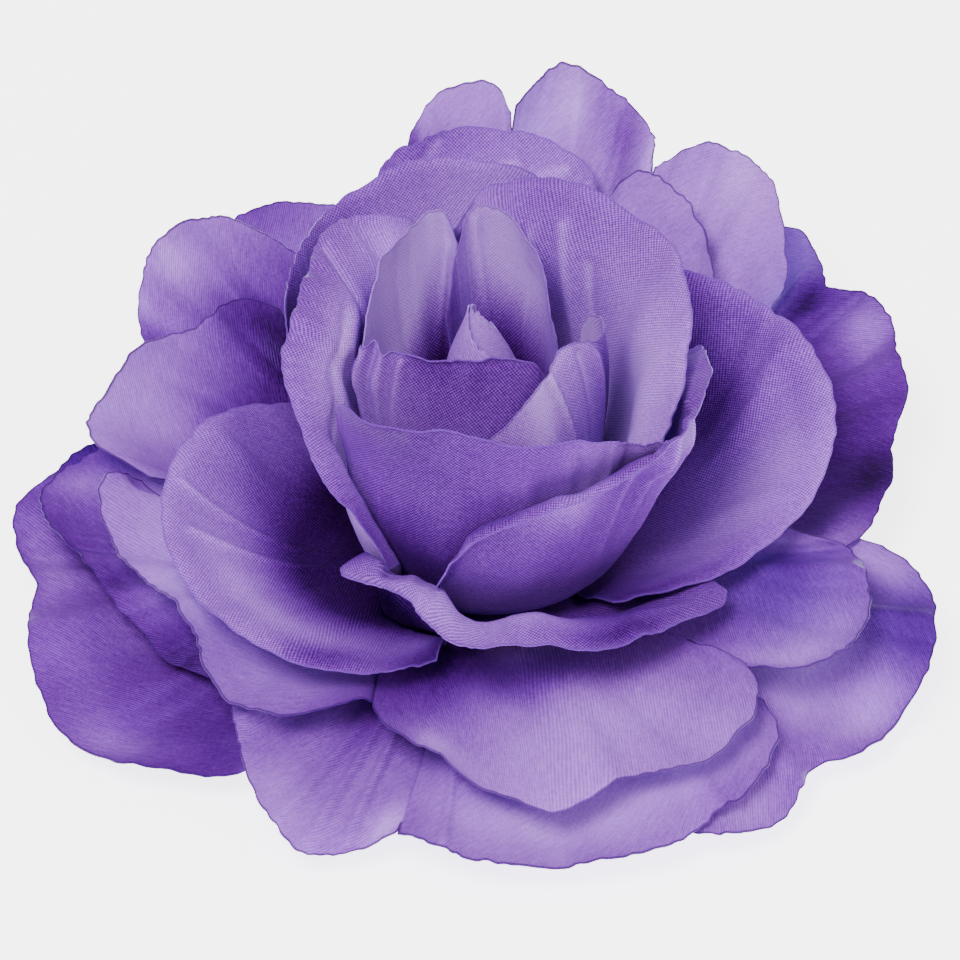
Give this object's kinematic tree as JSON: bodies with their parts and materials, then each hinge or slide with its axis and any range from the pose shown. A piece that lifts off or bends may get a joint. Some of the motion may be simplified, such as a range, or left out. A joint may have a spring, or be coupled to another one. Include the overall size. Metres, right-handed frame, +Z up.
{
  "type": "fabric rose flower head",
  "caption": "Open rose head made of shaped fabric petal layers threaded on a pin around a rolled bud, standing on a flat back cap, for decoration.",
  "frame": {"origin": "middle of the back cap's flat underside", "axes": "+Z up through the bud; the wide open petals of the front lie towards -Y and +X is to the right when looking along +Y"},
  "size_m": [0.1018, 0.0971, 0.0428],
  "materials": {
    "outer_petals": "satin twill, purple at the base and lighter lilac towards the cut edges",
    "inner_petals": "plain-weave taffeta, purple with lighter rims",
    "bud_fabric": "plain-weave taffeta, light lilac",
    "foam": "matt moulded foam",
    "stem_plastic": "satin moulded plastic"
  },
  "bodies": {
    "root": {"guard_petals": "outer_petals", "skirt_petals": "outer_petals", "collar_petals": "outer_petals", "bowl_petals": "inner_petals", "wrap_petals": "inner_petals", "cup_petals": "inner_petals", "heart_petals": "inner_petals", "bud_wrap": "bud_fabric", "bud_core": "foam", "pin": "stem_plastic", "back_cap": "stem_plastic", "spacer_1": "stem_plastic", "spacer_2": "stem_plastic", "spacer_3": "stem_plastic", "spacer_4": "stem_plastic", "spacer_5": "stem_plastic", "spacer_6": "stem_plastic"}
  },
  "joints": []
}
